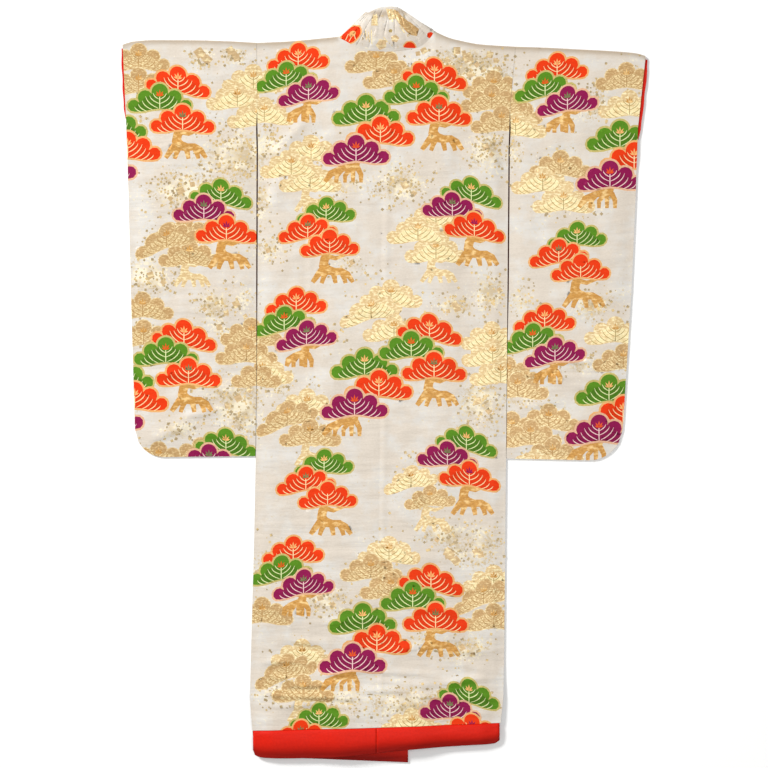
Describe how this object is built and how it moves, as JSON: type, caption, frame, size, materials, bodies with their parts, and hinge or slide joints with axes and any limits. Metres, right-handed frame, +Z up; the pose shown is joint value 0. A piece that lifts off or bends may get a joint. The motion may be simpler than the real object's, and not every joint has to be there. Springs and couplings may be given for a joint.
{
  "type": "kimono",
  "caption": "Long padded-hem bridal over-kimono laid flat on its front, back uppermost, with hanging sleeves, a standing back collar and a red lining at the cuffs and hem.",
  "frame": {"origin": "on the surface it lies on, under the middle of the garment's box", "axes": "+Y towards the collar, +X towards the wearer's right sleeve (the right of the picture), +Z up from the surface, out of the garment's back"},
  "size_m": [1.314, 1.8864, 0.0298],
  "materials": {
    "brocade": "white silk brocade with a woven pine pattern in orange, green, purple and gold",
    "red_lining": "plain red silk, padded along the hem"
  },
  "bodies": {
    "root": {"body_left": "brocade", "body_right": "brocade", "overlap_left": "brocade", "overlap_right": "brocade", "sleeve_left": "brocade", "sleeve_right": "brocade", "collar": "brocade", "cuff_lining_left": "red_lining", "cuff_lining_right": "red_lining", "hem_roll_back_left": "red_lining", "hem_roll_back_right": "red_lining", "hem_roll_front_left": "red_lining", "hem_roll_front_right": "red_lining"}
  },
  "joints": []
}
